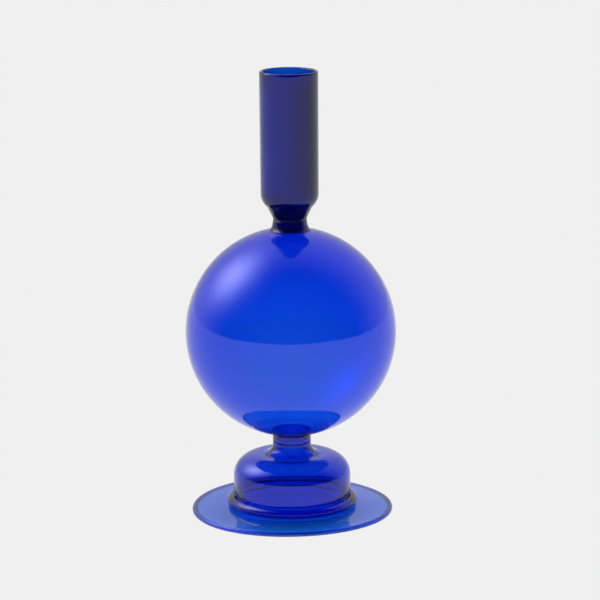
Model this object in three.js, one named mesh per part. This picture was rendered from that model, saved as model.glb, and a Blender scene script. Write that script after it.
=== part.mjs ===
// Blown glass vase: a tube-shaped cup on a hollow globe, a squat hollow bulb and a wide foot.
// Every piece is turned about the Z axis. Millimetres, +Z up, the foot stands on Z = 0.

import * as THREE from 'three';

// driving dimensions
const aroundSteps = 40; // facets round the axis
const weld = 0.3; // gap between two pieces that meet face to face

const footRadius = 48.1;
const footTop = 3.2;
const footKick = 1.4; // height of the hollow underside
const footKickRadius = 31; // the underside is level out to here, then slopes down towards the bead
const footEdgeUnder = 0.95; // its height beside the bead
const footRimRadius = 1.2; // section radius of the bead rolled under the edge
const footRest = 55; // the bead is flat underneath between this angle below its middle on both sides

const ringRadius = 28.5; // centre line of the bead between foot and bulb
const ringSection = 2.55;
const ringInner = 25.6; // at its top, under the bulb
const ringBottomInner = 27.9;
const ringCentreHeight = 5.6;

const bulbRadius = 28.0;
const bulbWall = 1.5;
const bulbMidHeight = 17.7; // height of its widest circle
const bulbShoulderWidth = 12.5;
const bulbShoulderHeight = 10.6;
const bulbSquareness = 2.13; // 2 would make the shoulder a plain ellipse
const bulbStem = 34.3; // top of the short stem that its shoulder sweeps up into
const bulbStemWall = 1.6;

const collarRadius = 9.15; // lower collar and the bulb's stem
const collarFlare = 9.7; // where the lower collar meets the globe
const collarBore = 7.2;

const globeRadius = 50.0;
const globeWall = 1.3;
const globeSag = 0.3; // the wall is this much thinner at the bottom and thicker on top
const globeMidHeight = 88.0;
const poleHole = 6.0; // radius of the hole on top, which the waist collar closes

const waistRadius = 8.0;
const waistFlare = 9.7;
const cupFloor = 142.2; // underside of the cup

const cupRadius = 13.85;
const cupBaseRadius = 13.7; // the tube is a little slimmer above its shoulder
const cupWall = 2.0;
const shoulderHeight = 154.75;
const shoulderArc = 8.35;
const creaseRadius = 10.7; // where the shoulder turns into the cone
const creaseHeight = 148.2;
const cupInnerFloor = 144.2;
const vaseHeight = 212.5;

// points on a circular arc about (radius, height), from one angle to another in degrees
function arc(radius, height, size, from, to, steps) {
  const points = [];
  for (let i = 0; i <= steps; i += 1) {
    const angle = THREE.MathUtils.degToRad(from + ((to - from) * i) / steps);
    points.push([radius + size * Math.cos(angle), height + size * Math.sin(angle)]);
  }
  return points;
}

// points on a rounded shoulder, a quarter of a slightly squared ellipse, from its side to its top
function shoulder(radius, height, width, rise, squareness, steps) {
  return arc(0, 0, 1, 0, 90, steps).map(([across, up]) => [
    radius + width * Math.abs(across) ** (2 / squareness),
    height + rise * Math.abs(up) ** (2 / squareness),
  ]);
}

// points on a curve that leaves start towards bend and arrives at end from bend
function sweep(start, bend, end, steps) {
  const curve = new THREE.QuadraticBezierCurve(
    new THREE.Vector2(...start),
    new THREE.Vector2(...bend),
    new THREE.Vector2(...end),
  );
  return curve.getPoints(steps).map((point) => [point.x, point.y]);
}

// height of the globe's outer surface at a radius, above or below its middle
function globeSurface(radius) {
  return Math.sqrt(globeRadius ** 2 - radius ** 2);
}

// angle from the globe's equator to where its wall has a given radius
function latitude(radius, wallRadius) {
  return THREE.MathUtils.radToDeg(Math.acos(radius / wallRadius));
}

function glass(colour, roughness = 0.05) {
  return new THREE.MeshStandardMaterial({ color: colour, roughness, metalness: 0 });
}

// one closed solid, turned from an outline of [radius, height] points
function turned(name, outline, material) {
  const points = outline.map(([radius, height]) => new THREE.Vector2(radius, height));
  const geometry = new THREE.LatheGeometry(points, aroundSteps);
  geometry.rotateX(Math.PI / 2);
  const mesh = new THREE.Mesh(geometry, material);
  mesh.name = name;
  return mesh;
}

// a sheet of even thickness with a bead rolled under its edge, which alone touches the table
function footPlate() {
  const rimCentre = footRadius - footRimRadius;
  const rimHeight = footRimRadius * Math.sin(THREE.MathUtils.degToRad(footRest));
  const bead = (from, to, steps) => arc(rimCentre, rimHeight, footRimRadius, from, to, steps);
  return turned('foot_plate', [
    [0, footKick],
    [footKickRadius, footKick],
    [rimCentre - footRimRadius - 0.4, footEdgeUnder],
    ...bead(-165, footRest - 180, 2),
    ...bead(-footRest, 90, 6),
    [ringRadius + ringSection + 0.6, footTop],
    [0, footTop],
  ], glass(0x1f35b8));
}

// the rounded skirt that welds the bulb to the foot, hollow like the bulb
function seatRing() {
  const bottom = footTop + weld;
  const bead = arc(ringRadius, ringCentreHeight, ringSection, -55, 115, 8);
  const top = bead[bead.length - 1][1];
  return turned('seat_ring', [
    [ringBottomInner, bottom],
    ...bead,
    [ringInner, top],
    ...sweep([ringInner, top - 0.6], [ringBottomInner - 0.2, 6.8], [ringBottomInner, 4.2], 3),
    [ringBottomInner, bottom],
  ], glass(0x10208c));
}

// the squat hollow bulb, open below onto the foot and drawn up into a short open stem
function footBulb() {
  const bottom = 8.2;
  const shoulderCentre = bulbRadius - bulbShoulderWidth;
  const foldRadius = 1.2; // the wall tucks in above the skirt
  const innerStem = collarRadius - bulbStemWall;
  const outerShoulder = shoulder(
    shoulderCentre, bulbMidHeight, bulbShoulderWidth, bulbShoulderHeight, bulbSquareness, 9,
  );
  const innerShoulder = shoulder(
    shoulderCentre, bulbMidHeight,
    bulbShoulderWidth - bulbWall, bulbShoulderHeight - bulbWall, bulbSquareness, 8,
  ).reverse();
  return turned('foot_bulb', [
    [ringInner, bottom],
    ...arc(bulbRadius - foldRadius, bottom + foldRadius, foldRadius, -80, 0, 3),
    ...outerShoulder,
    ...sweep([13.4, 28.5], [collarRadius + 0.25, 28.6], [collarRadius, 33.0], 5),
    [collarRadius, bulbStem],
    [innerStem, bulbStem],
    ...sweep([innerStem, 32.5], [innerStem + 0.1, 27.2], [11.5, 27.0], 4),
    ...innerShoulder,
    [bulbRadius - bulbWall, bottom + foldRadius],
    [ringInner, bottom],
  ], glass(0x1238c8));
}

// the short open collar between the bulb's stem and the underside of the globe
function lowerCollar() {
  const bottom = bulbStem + weld;
  const seat = [];
  const seatSteps = 3;
  for (let i = 0; i <= seatSteps; i += 1) {
    const radius = collarFlare + ((collarBore - collarFlare) * i) / seatSteps;
    seat.push([radius, globeMidHeight - globeSurface(radius) - weld]);
  }
  const lip = seat[0];
  return turned('lower_collar', [
    [collarBore, bottom],
    ...sweep([collarRadius, bottom], [collarRadius, lip[1] - 0.9], [lip[0], lip[1] - 0.1], 5),
    ...seat,
    [collarBore, bottom],
  ], glass(0x0b1c78));
}

// the thin blown globe, with the blowing hole on top
function globe() {
  const innerRadius = globeRadius - globeWall;
  const outerEnd = latitude(poleHole, globeRadius);
  const innerEnd = latitude(poleHole, innerRadius);
  return turned('globe', [
    ...arc(0, globeMidHeight, globeRadius, -90, outerEnd, 20),
    ...arc(0, globeMidHeight - globeSag, innerRadius, innerEnd, -90, 19),
  ], glass(0x0f32d6));
}

// the short solid collar between globe and cup, flared onto the globe
function waistCollar() {
  const seat = [];
  const seatSteps = 3;
  for (let i = 0; i <= seatSteps; i += 1) {
    const radius = (waistFlare * i) / seatSteps;
    seat.push([radius, globeMidHeight + globeSurface(radius) + weld]);
  }
  const lip = seat[seatSteps];
  return turned('waist_collar', [
    ...seat,
    ...sweep([lip[0], lip[1] + 0.2], [waistRadius + 0.4, 138.1], [waistRadius, cupFloor - weld], 5),
    [0, cupFloor - weld],
  ], glass(0x050a3c));
}

// the cup: a straight tube with a rounded lip, closed below by a shoulder and a short cone
function neckCup() {
  const lipRadius = cupWall / 2;
  const lipHeight = vaseHeight - lipRadius;
  const shoulderCentre = cupBaseRadius - shoulderArc;
  const innerArc = shoulderArc - cupWall;
  return turned('neck_cup', [
    [0, cupFloor],
    ...sweep([waistRadius, cupFloor], [waistRadius, 143.4], [creaseRadius, creaseHeight], 4),
    ...arc(shoulderCentre, shoulderHeight, shoulderArc, -48, 0, 5),
    ...arc(cupRadius - lipRadius, lipHeight, lipRadius, 0, 180, 6),
    ...arc(shoulderCentre, shoulderHeight, innerArc, 0, -58, 4),
    ...sweep([6.4, 146.0], [4.6, cupInnerFloor], [0, cupInnerFloor], 3),
  ], glass(0x060f66));
}

const vase = new THREE.Group();
vase.add(footPlate(), seatRing(), footBulb(), lowerCollar(), globe(), waistCollar(), neckCup());

export default vase;
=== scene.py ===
import math

import bmesh
import bpy
from mathutils import Matrix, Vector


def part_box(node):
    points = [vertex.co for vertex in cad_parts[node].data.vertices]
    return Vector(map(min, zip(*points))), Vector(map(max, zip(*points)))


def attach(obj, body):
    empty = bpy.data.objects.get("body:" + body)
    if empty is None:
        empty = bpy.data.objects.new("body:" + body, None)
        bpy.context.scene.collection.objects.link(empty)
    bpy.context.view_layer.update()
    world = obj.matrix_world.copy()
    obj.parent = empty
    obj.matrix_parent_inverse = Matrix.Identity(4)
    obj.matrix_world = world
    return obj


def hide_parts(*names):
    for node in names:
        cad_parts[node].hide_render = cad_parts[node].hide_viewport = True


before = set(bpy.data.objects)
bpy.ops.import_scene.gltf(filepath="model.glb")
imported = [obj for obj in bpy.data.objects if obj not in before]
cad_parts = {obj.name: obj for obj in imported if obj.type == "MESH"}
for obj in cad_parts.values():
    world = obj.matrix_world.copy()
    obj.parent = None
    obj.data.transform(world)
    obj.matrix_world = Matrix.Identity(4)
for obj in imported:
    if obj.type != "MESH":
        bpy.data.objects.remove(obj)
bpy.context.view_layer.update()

mm = 0.001
onAxis = 1e-6  # a point closer to the axis than this closes the piece
weld = 0.27  # each fused joint is drawn this much closer than in the plain solids
scene = bpy.context.scene


# an outline is a list of (radius, height) in millimetres

def arcPoints(radius, height, size, start, end, steps):
    points = []
    for i in range(steps + 1):
        angle = math.radians(start + (end - start) * i / steps)
        points.append((radius + size * math.cos(angle), height + size * math.sin(angle)))
    return points


def shoulderPoints(radius, height, width, rise, squareness, steps):
    # a quarter of a slightly squared ellipse, from its side to its top
    points = []
    for across, up in arcPoints(0, 0, 1, 0, 90, steps):
        points.append((
            radius + width * abs(across) ** (2 / squareness),
            height + rise * abs(up) ** (2 / squareness),
        ))
    return points


def sweepPoints(start, bend, end, steps):
    # leaves start towards bend and arrives at end from bend
    points = []
    for i in range(steps + 1):
        t = i / steps
        points.append(tuple(
            (1 - t) ** 2 * a + 2 * t * (1 - t) * b + t * t * c
            for a, b, c in zip(start, bend, end)
        ))
    return points


def linePoints(start, end, steps):
    return [
        tuple(a + (b - a) * i / steps for a, b in zip(start, end))
        for i in range(steps + 1)
    ]


def boxOf(node):
    low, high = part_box(node)
    return {"radius": (high.x - low.x) / 2 / mm, "bottom": low.z / mm, "top": high.z / mm}


def turnPiece(name, outline, around, shape=None):
    # turns an outline round the Z axis into one closed mesh
    mesh = bmesh.new()
    rings = []
    for radius, height in outline:
        if radius < onAxis:
            rings.append([mesh.verts.new((0, 0, height * mm))])
            continue
        ring = []
        for i in range(around):
            angle = 2 * math.pi * i / around
            r, z = (radius, height) if shape is None else shape(radius, height, angle)
            ring.append(mesh.verts.new((r * mm * math.cos(angle), r * mm * math.sin(angle), z * mm)))
        rings.append(ring)
    pairs = list(zip(rings, rings[1:]))
    if outline[0][0] > onAxis:
        pairs.append((rings[-1], rings[0]))
    for lower, upper in pairs:
        for i in range(around):
            j = (i + 1) % around
            if len(lower) == 1 and len(upper) == 1:
                continue
            if len(lower) == 1:
                mesh.faces.new((lower[0], upper[j], upper[i]))
            elif len(upper) == 1:
                mesh.faces.new((lower[i], lower[j], upper[0]))
            else:
                mesh.faces.new((lower[i], lower[j], upper[j], upper[i]))
    bmesh.ops.recalc_face_normals(mesh, faces=mesh.faces)
    data = bpy.data.meshes.new(name)
    mesh.to_mesh(data)
    mesh.free()
    data.shade_smooth()
    piece = bpy.data.objects.new(name, data)
    scene.collection.objects.link(piece)
    return piece


def finishPiece(piece, node, material):
    piece.data.materials.append(material)
    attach(piece, "root")
    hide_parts(node)
    print("made", piece.name, "for", node, "with", len(piece.data.polygons), "faces")


# the glass

def addNode(tree, kind, x, y, **values):
    node = tree.nodes.new(kind)
    node.location = (x, y)
    for key, value in values.items():
        setattr(node, key, value)
    return node


skinMarks = {
    "streakScale": 60, "streakFrom": 0.4, "streakTo": 0.75,
    "markScale": 90, "markBend": 1.2, "markFrom": 0.56, "markTo": 0.72,
    "speckScale": 1300, "speckFrom": 0.70, "speckTo": 0.78, "speckDull": 0.2,
}


def noiseMask(group, vector, y, settings, start, end):
    # a noise cut down to the places where it is strongest
    noise = addNode(group, "ShaderNodeTexNoise", -460, y, noise_dimensions="3D")
    for socket, value in settings.items():
        noise.inputs[socket].default_value = value
    group.links.new(vector, noise.inputs["Vector"])
    mask = addNode(group, "ShaderNodeMapRange", -240, y, interpolation_type="SMOOTHSTEP")
    mask.inputs["From Min"].default_value = start
    mask.inputs["From Max"].default_value = end
    group.links.new(noise.outputs["Fac"], mask.inputs["Value"])
    return mask.outputs["Result"]


def blownSkinGroup(marks):
    # the slow ripples, drawn cords and faint handling marks of blown glass
    group = bpy.data.node_groups.new("blownSkin", "ShaderNodeTree")
    face = group.interface
    for name, kind in (("Tint", "Color"), ("Deep Tint", "Color"), ("Stretch", "Vector"),
                       ("Ripple Scale", "Float"), ("Gloss", "Float"), ("Smudge", "Float")):
        face.new_socket(name, in_out="INPUT", socket_type="NodeSocket" + kind)
    for name, kind in (("Colour", "Color"), ("Roughness", "Float"), ("Height", "Float")):
        face.new_socket(name, in_out="OUTPUT", socket_type="NodeSocket" + kind)
    given = addNode(group, "NodeGroupInput", -900, 0)
    made = addNode(group, "NodeGroupOutput", 700, 0)
    place = addNode(group, "ShaderNodeTexCoord", -900, 300).outputs["Object"]
    stretched = addNode(group, "ShaderNodeVectorMath", -680, 250, operation="MULTIPLY")
    group.links.new(place, stretched.inputs[0])
    group.links.new(given.outputs["Stretch"], stretched.inputs[1])

    ripple = addNode(group, "ShaderNodeTexNoise", -460, 300, noise_dimensions="3D")
    ripple.inputs["Detail"].default_value = 1.5
    ripple.inputs["Roughness"].default_value = 0.4
    group.links.new(stretched.outputs[0], ripple.inputs["Vector"])
    group.links.new(given.outputs["Ripple Scale"], ripple.inputs["Scale"])

    # drawn streaks, where the blue is a little deeper
    streak = noiseMask(group, stretched.outputs[0], 0, {"Scale": marks["streakScale"], "Detail": 3},
                       marks["streakFrom"], marks["streakTo"])
    tint = addNode(group, "ShaderNodeMix", 0, 100, data_type="RGBA")
    group.links.new(streak, tint.inputs["Factor"])
    group.links.new(given.outputs["Tint"], tint.inputs["A"])
    group.links.new(given.outputs["Deep Tint"], tint.inputs["B"])

    # marks left by handling
    mark = noiseMask(group, place, -300,
                     {"Scale": marks["markScale"], "Detail": 5, "Distortion": marks["markBend"]},
                     marks["markFrom"], marks["markTo"])
    smudge = addNode(group, "ShaderNodeMath", 0, -300, operation="MULTIPLY")
    group.links.new(mark, smudge.inputs[0])
    group.links.new(given.outputs["Smudge"], smudge.inputs[1])
    rough = addNode(group, "ShaderNodeMath", 220, -250, operation="ADD")
    group.links.new(given.outputs["Gloss"], rough.inputs[0])
    group.links.new(smudge.outputs[0], rough.inputs[1])

    # tiny specks of dust, gathered in the streaks
    speck = noiseMask(group, place, -600, {"Scale": marks["speckScale"], "Detail": 0},
                      marks["speckFrom"], marks["speckTo"])
    patch = addNode(group, "ShaderNodeMath", 0, -600, operation="MULTIPLY")
    group.links.new(speck, patch.inputs[0])
    group.links.new(streak, patch.inputs[1])
    dusty = addNode(group, "ShaderNodeMath", 420, -300, operation="MULTIPLY_ADD")
    group.links.new(patch.outputs[0], dusty.inputs[0])
    dusty.inputs[1].default_value = marks["speckDull"]
    group.links.new(rough.outputs[0], dusty.inputs[2])

    group.links.new(tint.outputs["Result"], made.inputs["Colour"])
    group.links.new(dusty.outputs[0], made.inputs["Roughness"])
    group.links.new(ripple.outputs["Fac"], made.inputs["Height"])
    return group


blownSkin = blownSkinGroup(skinMarks)


def wornRim(tree, rough, look):
    # the edge that stands on tables is worn a little dull
    place = addNode(tree, "ShaderNodeTexCoord", -900, -500)
    flat = addNode(tree, "ShaderNodeVectorMath", -720, -500, operation="MULTIPLY")
    flat.inputs[1].default_value = (1, 1, 0)
    reach = addNode(tree, "ShaderNodeVectorMath", -540, -500, operation="LENGTH")
    worn = addNode(tree, "ShaderNodeMapRange", -360, -500, interpolation_type="SMOOTHSTEP")
    worn.inputs["From Min"].default_value = look["wornFrom"] * mm
    worn.inputs["From Max"].default_value = look["wornTo"] * mm
    worn.inputs["To Max"].default_value = look["worn"]
    both = addNode(tree, "ShaderNodeMath", -180, -400, operation="ADD")
    tree.links.new(place.outputs["Object"], flat.inputs[0])
    tree.links.new(flat.outputs[0], reach.inputs[0])
    tree.links.new(reach.outputs["Value"], worn.inputs["Value"])
    tree.links.new(worn.outputs["Result"], both.inputs[0])
    tree.links.new(rough, both.inputs[1])
    return both.outputs[0]


def glassMaterial(name, look):
    material = bpy.data.materials.new(name)
    material.use_nodes = True
    tree = material.node_tree
    tree.nodes.clear()
    skin = addNode(tree, "ShaderNodeGroup", -500, 0, node_tree=blownSkin)
    skin.inputs["Tint"].default_value = (*look["tint"], 1)
    skin.inputs["Deep Tint"].default_value = (*look["deepTint"], 1)
    skin.inputs["Stretch"].default_value = look["stretch"]
    skin.inputs["Ripple Scale"].default_value = look["rippleScale"]
    skin.inputs["Gloss"].default_value = look["gloss"]
    skin.inputs["Smudge"].default_value = look["smudge"]
    bump = addNode(tree, "ShaderNodeBump", -250, -200)
    bump.inputs["Strength"].default_value = 1.0
    bump.inputs["Distance"].default_value = look["rippleDepth"] * mm
    shader = addNode(tree, "ShaderNodeBsdfPrincipled", 0, 0)
    shader.inputs["Metallic"].default_value = 0
    shader.inputs["Transmission Weight"].default_value = 1
    shader.inputs["IOR"].default_value = 1.5
    # the blue is in the glass itself, so thick places are darker
    body = addNode(tree, "ShaderNodeVolumeAbsorption", 0, -500)
    body.inputs["Color"].default_value = (*look["bodyColour"], 1)
    body.inputs["Density"].default_value = look["bodyDensity"]
    out = addNode(tree, "ShaderNodeOutputMaterial", 320, 0)
    rough = skin.outputs["Roughness"]
    if "worn" in look:
        rough = wornRim(tree, rough, look)
    tree.links.new(skin.outputs["Colour"], shader.inputs["Base Color"])
    tree.links.new(rough, shader.inputs["Roughness"])
    tree.links.new(skin.outputs["Height"], bump.inputs["Height"])
    tree.links.new(bump.outputs["Normal"], shader.inputs["Normal"])
    tree.links.new(shader.outputs["BSDF"], out.inputs["Surface"])
    tree.links.new(body.outputs["Volume"], out.inputs["Volume"])
    return material


globeLook = {
    "tint": (0.82, 0.90, 1.0), "deepTint": (0.74, 0.85, 1.0),
    "stretch": (1, 1, 1), "rippleScale": 28, "rippleDepth": 0.2,
    "gloss": 0.0, "smudge": 0.03,
    "bodyColour": (0.0, 0.56, 0.965), "bodyDensity": 2100,
}
# the cup's glass is denser and a deeper blue than the globe's: its thicker wall darkens it for real, and the
# extra density is painted shade standing in for a darker, shaded backdrop behind the neck
cupLook = {
    "tint": (0.80, 0.88, 1.0), "deepTint": (0.66, 0.76, 0.95),
    "stretch": (1, 1, 0.12), "rippleScale": 110, "rippleDepth": 0.1,
    "gloss": 0.0, "smudge": 0.03,
    "bodyColour": (0.0, 0.52, 0.865), "bodyDensity": 3300,
}
bulbLook = {
    "tint": (0.82, 0.90, 1.0), "deepTint": (0.74, 0.85, 1.0),
    "stretch": (1, 1, 1.6), "rippleScale": 45, "rippleDepth": 0.15,
    "gloss": 0.0, "smudge": 0.03,
    "bodyColour": (0.0, 0.55, 0.94), "bodyDensity": 2100,
}
footLook = {
    "tint": (0.82, 0.90, 1.0), "deepTint": (0.74, 0.85, 1.0),
    "stretch": (1, 1, 1), "rippleScale": 40, "rippleDepth": 0.12,
    "gloss": 0.0, "smudge": 0.04,
    "bodyColour": (0.0, 0.58, 0.94), "bodyDensity": 2500,
    "wornFrom": 45.2, "wornTo": 46.4, "worn": 0.2,
}
collarLook = {
    "tint": (0.80, 0.88, 1.0), "deepTint": (0.66, 0.76, 0.95),
    "stretch": (1, 1, 1), "rippleScale": 60, "rippleDepth": 0.1,
    "gloss": 0.0, "smudge": 0.02,
    "bodyColour": (0.0, 0.53, 0.91), "bodyDensity": 1700,
}
waistLook = {**collarLook, "bodyDensity": 1500}
globeGlass = glassMaterial("globeGlass", globeLook)
cupGlass = glassMaterial("cupGlass", cupLook)
bulbGlass = glassMaterial("bulbGlass", bulbLook)
footGlass = glassMaterial("footGlass", footLook)
collarGlass = glassMaterial("collarGlass", collarLook)
waistGlass = glassMaterial("waistGlass", waistLook)
print("glass ready")


# the foot: a sheet of even thickness with a bead rolled under its edge
foot = {
    "rimSize": 1.15, "beadStart": -165, "beadEnd": 92,
    "kick": 1.4, "kickRadius": 31.0, "kickFlat": 29.5, "kickEase": 0.02, "edgeUnder": 0.95, "edgeGap": 0.5,
    "sink": 0.1, "sinkReach": 3.0, "beadGap": 0.3, "beadEase": 0.01,
    "seatRadius": 31.65, "seatGap": 0.5,
    "frontLift": 0.6, "skew": 0.5, "liftRadius": 48.0,
}


def footOutline(settings):
    box = boxOf("foot_plate")
    size, kick, seat = settings["rimSize"], settings["kick"], settings["seatRadius"]
    bead = arcPoints(box["radius"] - size, size, size, settings["beadStart"], settings["beadEnd"], 40)
    first, last = bead[0], bead[-1]
    topStart = (last[0] - settings["beadGap"], last[1] - settings["beadEase"])
    topBend = (last[0] - settings["sinkReach"], last[1] - settings["sink"])
    slopeStart = (settings["kickRadius"], kick - settings["kickEase"])
    return (
        linePoints((0, kick), (settings["kickFlat"], kick), 20)
        + linePoints(slopeStart, (first[0] - settings["edgeGap"], settings["edgeUnder"]), 12)
        + bead
        + sweepPoints(topStart, topBend, (seat, box["top"]), 22)
        + linePoints((seat - settings["seatGap"], box["top"]), (0, box["top"]), 16)
    )


def footWarp(radius, height, angle):
    # the plate lifts a little off the table before and behind, as a hand-opened foot does
    lift = foot["frontLift"] * math.sin(angle) ** 2 - foot["skew"] * math.sin(angle) * math.cos(angle)
    return radius, height + max(0, lift) * (radius / foot["liftRadius"]) ** 3


footPiece = turnPiece("footPlate", footOutline(foot), 144, footWarp)
finishPiece(footPiece, "foot_plate", footGlass)


# the rounded skirt that welds the bulb to the foot
skirt = {
    "size": 2.55, "centreRadius": 28.5, "height": 5.6, "beadStart": -55, "beadEnd": 115,
    "topInner": 25.6, "topDrop": 0.5, "topGap": 0.35,
    "bottomInner": 27.9, "bottomGap": 0.25, "innerBend": (27.7, 6.8), "innerEnd": 4.0,
}


def skirtOutline(settings):
    bottom = boxOf("seat_ring")["bottom"] - weld
    inner = settings["bottomInner"]
    outer = arcPoints(settings["centreRadius"], settings["height"], settings["size"],
                      settings["beadStart"], settings["beadEnd"], 22)
    top = outer[-1][1]
    return (
        linePoints((inner, bottom), (outer[0][0] - settings["bottomGap"], bottom), 3)
        + outer
        + linePoints((outer[-1][0] - settings["topGap"], top), (settings["topInner"], top), 3)
        + sweepPoints((settings["topInner"], top - settings["topDrop"]), settings["innerBend"],
                      (inner, settings["innerEnd"]), 12)
    )


skirtPiece = turnPiece("skirtRing", skirtOutline(skirt), 144)
finishPiece(skirtPiece, "seat_ring", bulbGlass)


# the squat bulb, drawn up into a short stem
bulb = {
    "wall": 1.5, "midHeight": 17.7, "shoulderWidth": 12.5, "shoulderRise": 10.6, "squareness": 2.13,
    "fold": 0.6, "inner": 25.6, "innerRise": 0.4,
    "ledge": 9.3, "ledgeRise": 1.0, "ledgeDrop": 1.5,
    "stem": 9.15, "stemWall": 1.6, "stemLip": 0.4, "stemStraight": 33.7,
    "outerSweep": ((14.2, 28.42), (9.55, 28.7), (9.15, 33.2)),
    "innerSweep": ((7.55, 33.6), (7.65, 27.1), (12.5, 26.85)),
}


def bulbOutline(settings):
    box = boxOf("foot_bulb")
    wall, mid, size = settings["wall"], settings["midHeight"], settings["fold"]
    width, rise = settings["shoulderWidth"], settings["shoulderRise"]
    centre = box["radius"] - width
    stem, innerStem = settings["stem"], settings["stem"] - settings["stemWall"]
    inside = box["radius"] - wall
    fold = arcPoints(box["radius"] - size, box["bottom"] + size, size, -80, 0, 10)
    side = linePoints(fold[-1], (box["radius"], mid), 6)[1:-1]
    outer = shoulderPoints(centre, mid, width, rise, settings["squareness"], 30)
    inner = shoulderPoints(centre, mid, width - wall, rise - wall, settings["squareness"], 26)[::-1]
    ledgeBend = (inside, settings["ledge"] + settings["ledgeRise"])
    ledgeEnd = (settings["inner"], settings["ledge"])
    return (
        [(settings["inner"], box["bottom"])]
        + fold + side + outer
        + sweepPoints(*settings["outerSweep"], 22)
        + linePoints((stem, settings["stemStraight"]), (stem, box["top"]), 2)
        + linePoints((stem - settings["stemLip"], box["top"]), (innerStem, box["top"]), 3)
        + sweepPoints(*settings["innerSweep"], 16)
        + inner[1:]
        + sweepPoints((inside, mid - settings["ledgeDrop"]), ledgeBend, ledgeEnd, 10)
        + [(settings["inner"], box["bottom"] + settings["innerRise"])]
    )


bulbPiece = turnPiece("footBulb", bulbOutline(bulb), 144)
finishPiece(bulbPiece, "foot_bulb", bulbGlass)


# the globe: its wall is thinner below, where the bubble was blown out furthest
globe = {"radius": 50.0, "midHeight": 88.0, "wall": 1.3, "sag": 0.3, "topHole": 6.0}


def latitude(radius, ballRadius):
    return math.degrees(math.acos(radius / ballRadius))


def globeHeight(radius, side):
    # height of the globe's surface at a radius: side is 1 above its middle and -1 below
    return globe["midHeight"] + side * math.sqrt(globe["radius"] ** 2 - radius * radius)


def globeOutline(settings):
    radius, mid, top = settings["radius"], settings["midHeight"], settings["topHole"]
    inside = radius - settings["wall"]
    return (
        arcPoints(0, mid, radius, -90, latitude(top, radius), 92)
        + arcPoints(0, mid - settings["sag"], inside, latitude(top, inside), -90, 88)
    )


globePiece = turnPiece("globe_blown", globeOutline(globe), 160)
finishPiece(globePiece, "globe", globeGlass)


# the open collar between bulb and globe
collar = {
    "radius": 9.15, "bore": 7.2, "topBore": 8.3, "gap": 0.08, "corner": 0.1,
    "straightEnd": 2.2, "flareStart": 1.8, "flareBend": 0.5, "flareEnd": 0.08,
    "mouthInset": 0.1, "mouthDrop": 0.3, "mouthBend": 0.9, "boreRise": 0.5,
}


def collarOutline(settings):
    box = boxOf("lower_collar")
    radius, bore, mouth = settings["radius"], settings["bore"], settings["topBore"]
    seat = []
    for r, _ in linePoints((box["radius"], 0), (mouth, 0), 8):
        seat.append((r, globeHeight(r, -1) - settings["gap"]))
    flareRadius, flareTop = seat[0]
    mouthTop = seat[-1][1]
    bottom = box["bottom"] - weld
    mouthStart = (mouth - settings["mouthInset"], mouthTop - settings["mouthDrop"])
    return (
        linePoints((bore, bottom), (radius - settings["corner"], bottom), 3)
        + linePoints((radius, bottom + settings["corner"]), (radius, flareTop - settings["straightEnd"]), 4)
        + sweepPoints((radius, flareTop - settings["flareStart"]), (radius, flareTop - settings["flareBend"]),
                      (flareRadius, flareTop - settings["flareEnd"]), 8)
        + seat
        + sweepPoints(mouthStart, (bore, mouthTop - settings["mouthBend"]),
                      (bore, box["bottom"] + settings["boreRise"]), 7)
    )


collarPiece = turnPiece("lowerCollar", collarOutline(collar), 96)
finishPiece(collarPiece, "lower_collar", collarGlass)


# the nearly black collar at the waist
waist = {"radius": 8.0, "bendOut": 0.4, "bendHeight": 138.1, "gap": 0.05, "flareRise": 0.15, "topGap": 0.4}


def waistOutline(settings):
    box = boxOf("waist_collar")
    seat = []
    for r, _ in linePoints((0, 0), (box["radius"], 0), 8):
        seat.append((r, globeHeight(r, 1) + settings["gap"]))
    flareRadius, flareTop = seat[-1]
    top = box["top"] + weld
    bend = (settings["radius"] + settings["bendOut"], settings["bendHeight"])
    return (
        seat
        + sweepPoints((flareRadius, flareTop + settings["flareRise"]), bend, (settings["radius"], top), 14)
        + linePoints((settings["radius"] - settings["topGap"], top), (0, top), 5)
    )


waistPiece = turnPiece("waistCollar", waistOutline(waist), 96)
finishPiece(waistPiece, "waist_collar", waistGlass)


# the cup: its bore sits a little to one side, so one side of the wall is thinner
cup = {
    "baseRadius": 13.7, "wall": 2.0, "waistRadius": 8.0, "waistInset": 0.2, "waistRise": 0.1,
    "coneBend": 143.4, "creaseRadius": 10.7, "creaseHeight": 148.2, "creaseAngle": -48,
    "shoulderHeight": 154.75, "shoulderSize": 8.35, "innerAngle": -58,
    "innerFloor": 144.2, "floorStart": (6.4, 146.0), "floorBend": 4.6,
    "lipWall": 1.6, "lipTaper": 6.0,
    "boreShift": 0.8, "shiftFrom": 150.0, "shiftRise": 8.0, "shiftTo": 210.0, "shiftFade": 6.0,
}


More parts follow.
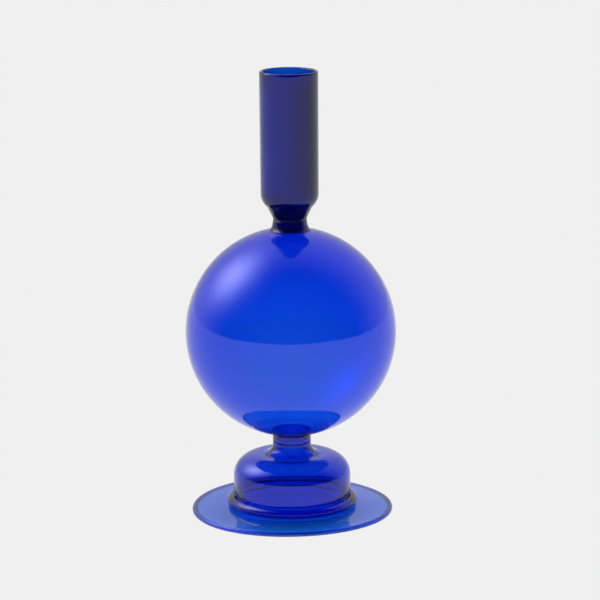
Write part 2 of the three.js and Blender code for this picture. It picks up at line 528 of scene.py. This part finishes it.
def cupOutline(settings):
    box = boxOf("neck_cup")
    radius, lip, floorHeight = box["radius"], settings["lipWall"] / 2, settings["innerFloor"]
    size, shoulder = settings["shoulderSize"], settings["shoulderHeight"]
    centre = settings["baseRadius"] - size
    innerSize = size - settings["wall"]
    outerLip = (radius, box["top"] - lip)
    innerLip = (radius - settings["lipWall"], box["top"] - lip)
    innerTaper = (radius - settings["wall"], box["top"] - settings["lipTaper"])
    innerBase = (centre + innerSize, shoulder)
    waistEdge = settings["waistRadius"]
    return (
        linePoints((0, box["bottom"]), (waistEdge - settings["waistInset"], box["bottom"]), 5)
        + sweepPoints((waistEdge, box["bottom"] + settings["waistRise"]), (waistEdge, settings["coneBend"]),
                      (settings["creaseRadius"], settings["creaseHeight"]), 14)
        + arcPoints(centre, shoulder, size, settings["creaseAngle"], 0, 14)
        + linePoints((settings["baseRadius"], shoulder), outerLip, 20)[1:-1]
        + arcPoints(radius - lip, box["top"] - lip, lip, 0, 180, 14)
        + linePoints(innerLip, innerTaper, 5)[1:-1]
        + linePoints(innerTaper, innerBase, 18)[:-1]
        + arcPoints(centre, shoulder, innerSize, 0, settings["innerAngle"], 12)
        + sweepPoints(settings["floorStart"], (settings["floorBend"], floorHeight), (0, floorHeight), 10)
    )


def cupShape(radius, height, angle):
    # moves the bore towards -X, fading out at the lip and at the floor
    outside = cup["baseRadius"] - cup["wall"] / 2
    if radius > outside or height < cup["shiftFrom"]:
        return radius, height
    top = min(1, max(0, (cup["shiftTo"] - height) / cup["shiftFade"]))
    base = min(1, (height - cup["shiftFrom"]) / cup["shiftRise"])
    return radius - cup["boreShift"] * top * base * math.cos(angle), height


cupPiece = turnPiece("neckCup", cupOutline(cup), 112, cupShape)
finishPiece(cupPiece, "neck_cup", cupGlass)


# the floor, the same even pale glow for every ray
pale = 0.87  # how bright the camera sees the floor and the backdrop
floor = {"size": 4.0, "drop": 0.2}


def paleFloor(settings):
    mesh = bmesh.new()
    bmesh.ops.create_grid(mesh, x_segments=8, y_segments=8, size=settings["size"])
    data = bpy.data.meshes.new("paleFloor")
    mesh.to_mesh(data)
    mesh.free()
    ground = bpy.data.objects.new("paleFloor", data)
    ground.location.z = -settings["drop"] * mm
    scene.collection.objects.link(ground)
    material = bpy.data.materials.new("paleFloor")
    material.use_nodes = True
    tree = material.node_tree
    tree.nodes.clear()
    glow = addNode(tree, "ShaderNodeEmission", 0, 0)
    glow.inputs["Strength"].default_value = pale
    out = addNode(tree, "ShaderNodeOutputMaterial", 200, 0)
    tree.links.new(glow.outputs[0], out.inputs["Surface"])
    data.materials.append(material)


paleFloor(floor)
print("floor ready")


# the light: one large soft light on the left, and a pale backdrop that fades to a dim room in front
studio = {
    "lightAzimuth": -108, "lightElevation": 42, "lightWidth": 20, "lightGlow": 4.8,
    "room": 0.024, "backdrop": 0.696, "fadeStart": -0.3, "fadeEnd": 0.6,
}


def mathNode(tree, operation, *values):
    # a value may be a number or another node's output
    node = addNode(tree, "ShaderNodeMath", -300, 0, operation=operation)
    for socket, value in zip(node.inputs, values):
        if isinstance(value, (int, float)):
            socket.default_value = value
        else:
            tree.links.new(value, socket)
    return node.outputs[0]


def dotNode(tree, vector, direction):
    node = addNode(tree, "ShaderNodeVectorMath", -600, 0, operation="DOT_PRODUCT")
    tree.links.new(vector, node.inputs[0])
    node.inputs[1].default_value = direction
    return node.outputs["Value"]


def softSpot(tree, place, settings):
    # falls off evenly with the angle away from the light's middle
    turn, rise = math.radians(settings["lightAzimuth"]), math.radians(settings["lightElevation"])
    aim = (math.sin(turn) * math.cos(rise), -math.cos(turn) * math.cos(rise), math.sin(rise))
    away = mathNode(tree, "DEGREES", mathNode(tree, "ARCCOSINE", dotNode(tree, place, aim)))
    ratio = mathNode(tree, "DIVIDE", away, settings["lightWidth"])
    squared = mathNode(tree, "MULTIPLY", ratio, ratio)
    return mathNode(tree, "EXPONENT", mathNode(tree, "MULTIPLY", squared, -1))


def studioWorld(settings):
    world = bpy.data.worlds.new("studio")
    scene.world = world
    world.use_nodes = True
    tree = world.node_tree
    tree.nodes.clear()
    place = addNode(tree, "ShaderNodeTexCoord", -900, 0).outputs["Generated"]

    room = addNode(tree, "ShaderNodeMapRange", -300, -200, interpolation_type="SMOOTHSTEP")
    room.inputs["From Min"].default_value = settings["fadeStart"]
    room.inputs["From Max"].default_value = settings["fadeEnd"]
    room.inputs["To Min"].default_value = settings["room"]
    room.inputs["To Max"].default_value = settings["backdrop"]
    tree.links.new(dotNode(tree, place, (0, 1, 0)), room.inputs["Value"])
    spot = softSpot(tree, place, settings)
    light = mathNode(tree, "MULTIPLY_ADD", spot, settings["lightGlow"], room.outputs["Result"])

    # the camera itself sees an even backdrop
    path = addNode(tree, "ShaderNodeLightPath", -100, 300)
    shown = addNode(tree, "ShaderNodeMix", 0, 0, data_type="FLOAT")
    shown.inputs["B"].default_value = pale
    tree.links.new(path.outputs["Is Camera Ray"], shown.inputs["Factor"])
    tree.links.new(light, shown.inputs["A"])
    lit = addNode(tree, "ShaderNodeBackground", 200, 0)
    lit.inputs["Color"].default_value = (1, 1, 1, 1)
    tree.links.new(shown.outputs["Result"], lit.inputs["Strength"])
    out = addNode(tree, "ShaderNodeOutputWorld", 400, 0)
    tree.links.new(lit.outputs[0], out.inputs["Surface"])


studioWorld(studio)
print("light ready")


# the camera stands a little above the vase and looks slightly down
shot = {
    "away": 1.3401, "height": 0.4002, "aimRight": 0.00445,
    "pitch": 12.5, "roll": 0.47, "lens": 173.8, "sensor": 36,
}
cameraData = bpy.data.cameras.new("camera")
cameraData.lens = shot["lens"]
cameraData.sensor_width = shot["sensor"]
camera = bpy.data.objects.new("camera", cameraData)
scene.collection.objects.link(camera)
camera.location = (shot["aimRight"], -shot["away"], shot["height"])
tilt = Matrix.Rotation(math.radians(90 - shot["pitch"]), 3, "X")
lean = Matrix.Rotation(math.radians(-shot["roll"]), 3, "Z")
camera.rotation_euler = (tilt @ lean).to_euler()
scene.camera = camera
scene.view_settings.view_transform = "Standard"
print("camera ready")
